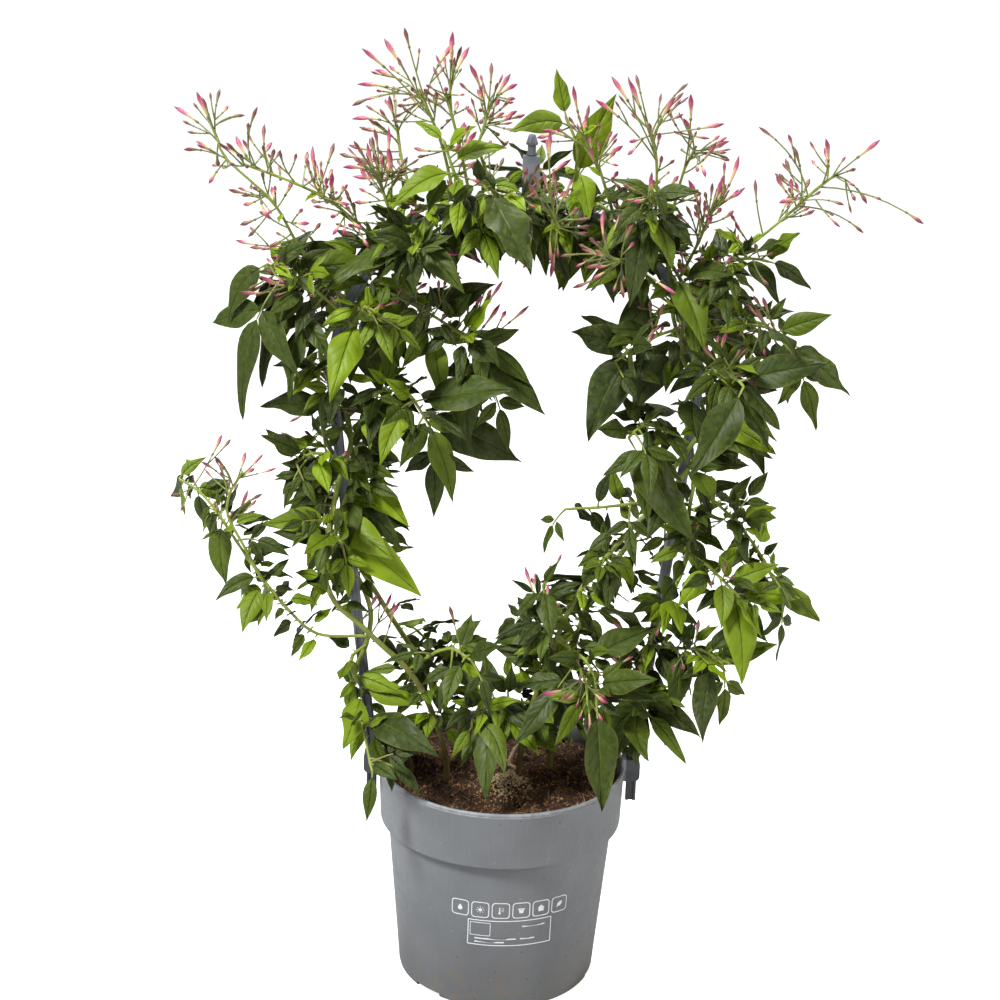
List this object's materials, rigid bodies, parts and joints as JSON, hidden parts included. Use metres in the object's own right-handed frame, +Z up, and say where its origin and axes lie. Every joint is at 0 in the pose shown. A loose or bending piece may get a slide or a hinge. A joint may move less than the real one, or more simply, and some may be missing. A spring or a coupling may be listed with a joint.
{
  "type": "pink jasmine on a hoop in a nursery pot",
  "caption": "Climbing jasmine in pink bud, twined round an upright plastic hoop that clips to its grey nursery pot.",
  "frame": {"origin": "centre of the pot's foot, on the surface it stands on", "axes": "+Z up, +X to the right along the hoop's plane, -Y the side the plant is seen from"},
  "size_m": [0.4645, 0.181, 0.651],
  "materials": {
    "pot_plastic": "satin",
    "hoop_plastic": "satin",
    "peat": "matte",
    "vine_stem": "satin",
    "leaf_green": "satin",
    "leaf_young": "satin",
    "bud_pink": "satin"
  },
  "bodies": {
    "root": {"hoop_left": "hoop_plastic", "hoop_pin": "hoop_plastic", "hoop_right": "hoop_plastic", "pot": "pot_plastic", "shoot_back_1": "leaf_green", "shoot_back_2": "leaf_green", "shoot_back_3": "leaf_green", "shoot_back_4": "leaf_green", "shoot_back_5": "leaf_green", "shoot_bottom_left": "leaf_green", "shoot_bottom_mid": "leaf_green", "shoot_bottom_mid_top": "leaf_green", "shoot_bottom_right_front": "leaf_green", "shoot_bottom_right_out": "leaf_green", "shoot_cascade_left": "leaf_young", "shoot_far_right": "leaf_green", "shoot_inner_left": "leaf_green", "shoot_leg_left_bright": "leaf_young", "shoot_leg_left_inner": "leaf_green", "shoot_leg_left_low": "leaf_young", "shoot_leg_left_outer": "leaf_green", "shoot_long_branch_left": "leaf_green", "shoot_low_right_out": "leaf_green", "shoot_mid_right_out": "leaf_young", "shoot_right_big": "leaf_green", "shoot_right_inner_low": "leaf_green", "shoot_right_inner_mid": "leaf_green", "shoot_right_inner_top": "leaf_green", "shoot_rim_left": "leaf_green", "shoot_shoulder_left_out": "leaf_green", "shoot_shoulder_left_top": "leaf_green", "shoot_shoulder_right_out": "leaf_green", "shoot_shoulder_right_top": "leaf_green", "shoot_top_left_front": "leaf_young", "shoot_top_mid_front": "leaf_green", "shoot_top_right": "leaf_green", "shoot_top_young": "leaf_young", "soil": "peat", "spray_arch_front_right": "bud_pink", "spray_bottom_right": "bud_pink", "spray_branch_left": "bud_pink", "spray_crown_back": "bud_pink", "spray_crown_left": "bud_pink", "spray_crown_mid": "bud_pink", "spray_crown_right": "bud_pink", "spray_far_left_high": "bud_pink", "spray_far_left_low": "bud_pink", "spray_far_right": "bud_pink", "spray_hub_front": "bud_pink", "spray_left_upright": "bud_pink", "spray_shoulder_right": "bud_pink", "spray_top_right_high": "bud_pink", "spray_top_right_low": "bud_pink", "spray_top_right_out": "bud_pink", "vine_left_back": "vine_stem", "vine_left_front": "vine_stem", "vine_left_low": "vine_stem", "vine_right_back": "vine_stem", "vine_right_front": "vine_stem", "vine_right_outer": "vine_stem"}
  },
  "joints": []
}
